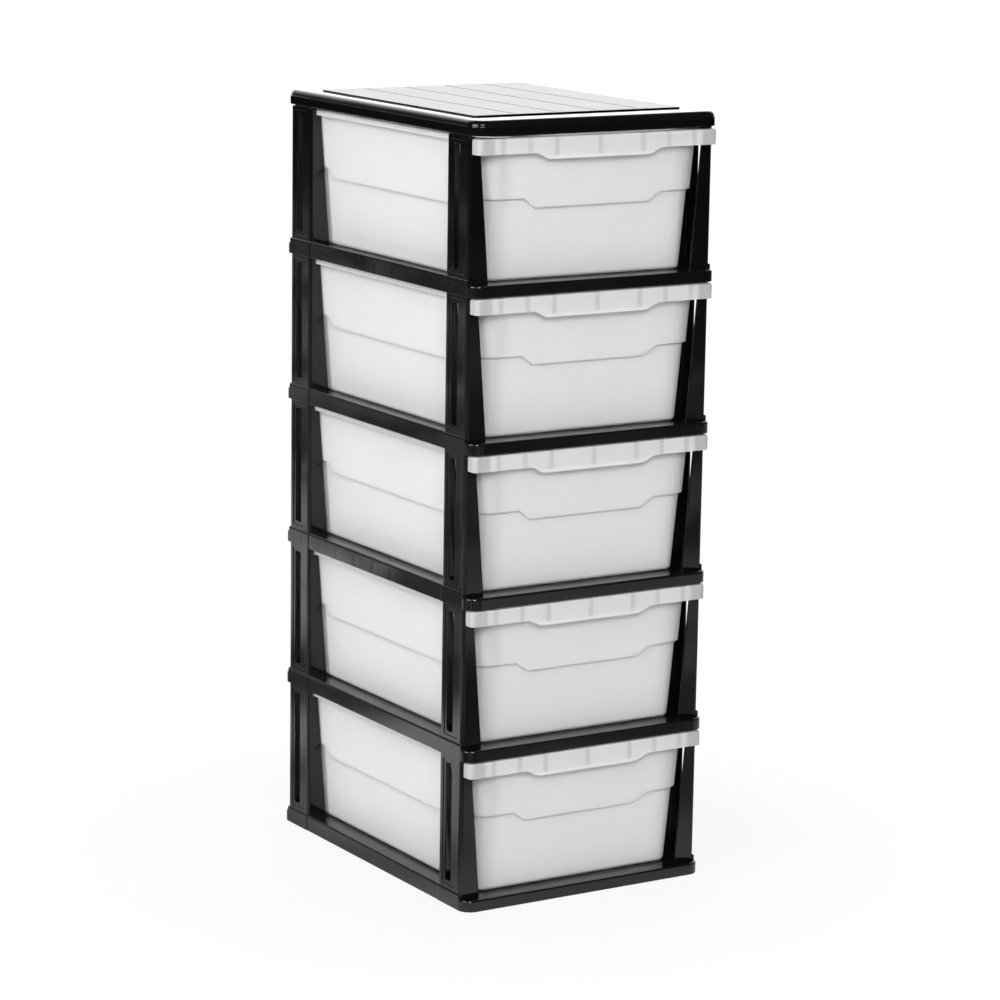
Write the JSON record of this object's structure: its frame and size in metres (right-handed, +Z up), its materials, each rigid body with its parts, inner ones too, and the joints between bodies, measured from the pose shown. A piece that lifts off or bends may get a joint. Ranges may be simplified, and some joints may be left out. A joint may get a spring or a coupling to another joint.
{
  "type": "plastic drawer tower",
  "caption": "Freestanding drawer tower: frosted pull-out drawers with drafted, stepped walls in a glossy black frame of shelf rings, slotted channel posts and a top panel.",
  "frame": {"origin": "on the floor, at the middle of the footprint", "axes": "+Z up, drawers pull out towards -Y, +X to the right of someone facing the back from the front"},
  "size_m": [0.29, 0.39, 0.8028],
  "materials": {
    "frame_plastic": "glossy black moulded polypropylene",
    "drawer_plastic": "natural frosted polypropylene, milky and see-through"
  },
  "bodies": {
    "frame": {"top_panel": "frame_plastic", "shelf_front_1": "frame_plastic", "shelf_rear_1": "frame_plastic", "shelf_front_2": "frame_plastic", "shelf_rear_2": "frame_plastic", "shelf_front_3": "frame_plastic", "shelf_rear_3": "frame_plastic", "shelf_front_4": "frame_plastic", "shelf_rear_4": "frame_plastic", "shelf_front_5": "frame_plastic", "shelf_rear_5": "frame_plastic", "post_front_left_1": "frame_plastic", "post_rear_left_1": "frame_plastic", "post_rear_right_1": "frame_plastic", "post_front_right_1": "frame_plastic", "post_front_left_2": "frame_plastic", "post_rear_left_2": "frame_plastic", "post_rear_right_2": "frame_plastic", "post_front_right_2": "frame_plastic", "post_front_left_3": "frame_plastic", "post_rear_left_3": "frame_plastic", "post_rear_right_3": "frame_plastic", "post_front_right_3": "frame_plastic", "post_front_left_4": "frame_plastic", "post_rear_left_4": "frame_plastic", "post_rear_right_4": "frame_plastic", "post_front_right_4": "frame_plastic", "post_front_left_5": "frame_plastic", "post_rear_left_5": "frame_plastic", "post_rear_right_5": "frame_plastic", "post_front_right_5": "frame_plastic"},
    "drawer_body_1": {"drawer_1": "drawer_plastic"},
    "drawer_body_2": {"drawer_2": "drawer_plastic"},
    "drawer_body_3": {"drawer_3": "drawer_plastic"},
    "drawer_body_4": {"drawer_4": "drawer_plastic"},
    "drawer_body_5": {"drawer_5": "drawer_plastic"}
  },
  "joints": [
    {"name": "drawer_slide_1", "type": "slide", "parent": "frame", "child": "drawer_body_1", "axis": [0, -1, 0], "range_m": [0, 0.28]},
    {"name": "drawer_slide_2", "type": "slide", "parent": "frame", "child": "drawer_body_2", "axis": [0, -1, 0], "range_m": [0, 0.28]},
    {"name": "drawer_slide_3", "type": "slide", "parent": "frame", "child": "drawer_body_3", "axis": [0, -1, 0], "range_m": [0, 0.28]},
    {"name": "drawer_slide_4", "type": "slide", "parent": "frame", "child": "drawer_body_4", "axis": [0, -1, 0], "range_m": [0, 0.28]},
    {"name": "drawer_slide_5", "type": "slide", "parent": "frame", "child": "drawer_body_5", "axis": [0, -1, 0], "range_m": [0, 0.28]}
  ]
}
